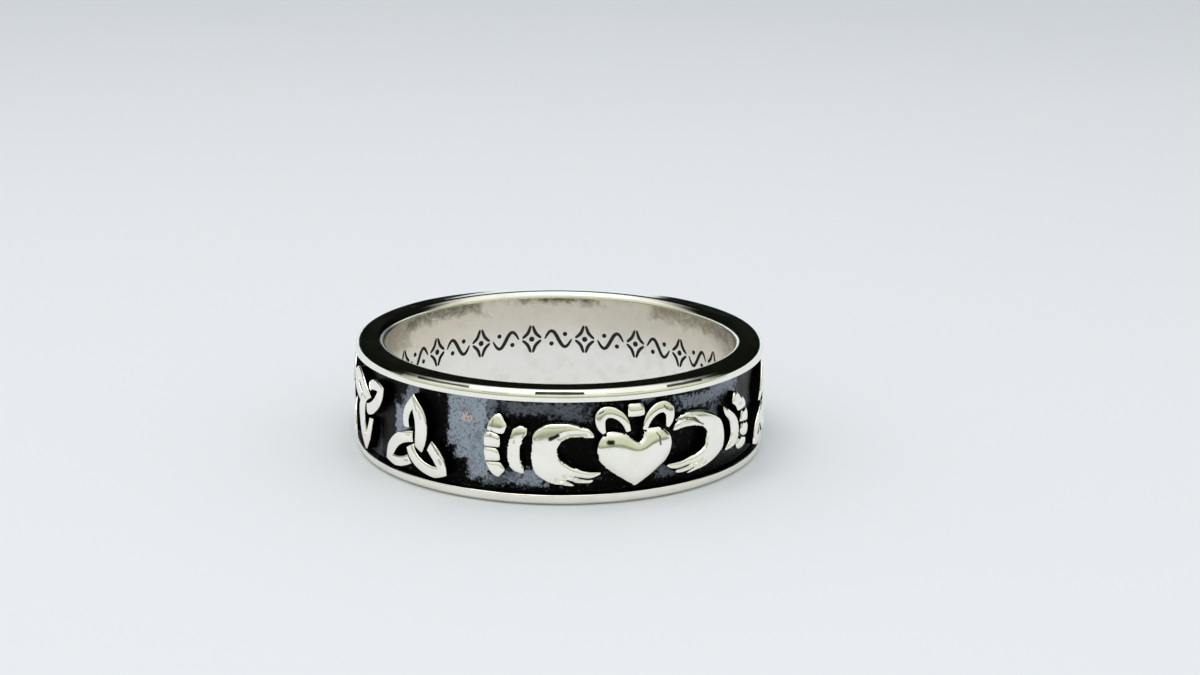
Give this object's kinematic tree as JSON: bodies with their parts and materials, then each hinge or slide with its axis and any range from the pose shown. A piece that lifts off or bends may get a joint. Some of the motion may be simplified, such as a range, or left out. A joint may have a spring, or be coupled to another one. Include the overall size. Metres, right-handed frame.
{
  "type": "claddagh ring",
  "caption": "Silver band ring worn on a finger: a crowned heart held by cuffed hands and a row of woven knots stand raised from a darkened field between plain rims.",
  "frame": {"origin": "on the finger hole's axis, level with the lower rim that the ring lies on", "axes": "+Z along the finger hole's axis, from the heart's tip to its crown; the heart faces -Y"},
  "size_m": [0.0228, 0.0229, 0.006],
  "materials": {
    "silver": "polished silver with a blackened sunk field"
  },
  "bodies": {
    "root": {"ring": "silver"}
  },
  "joints": []
}
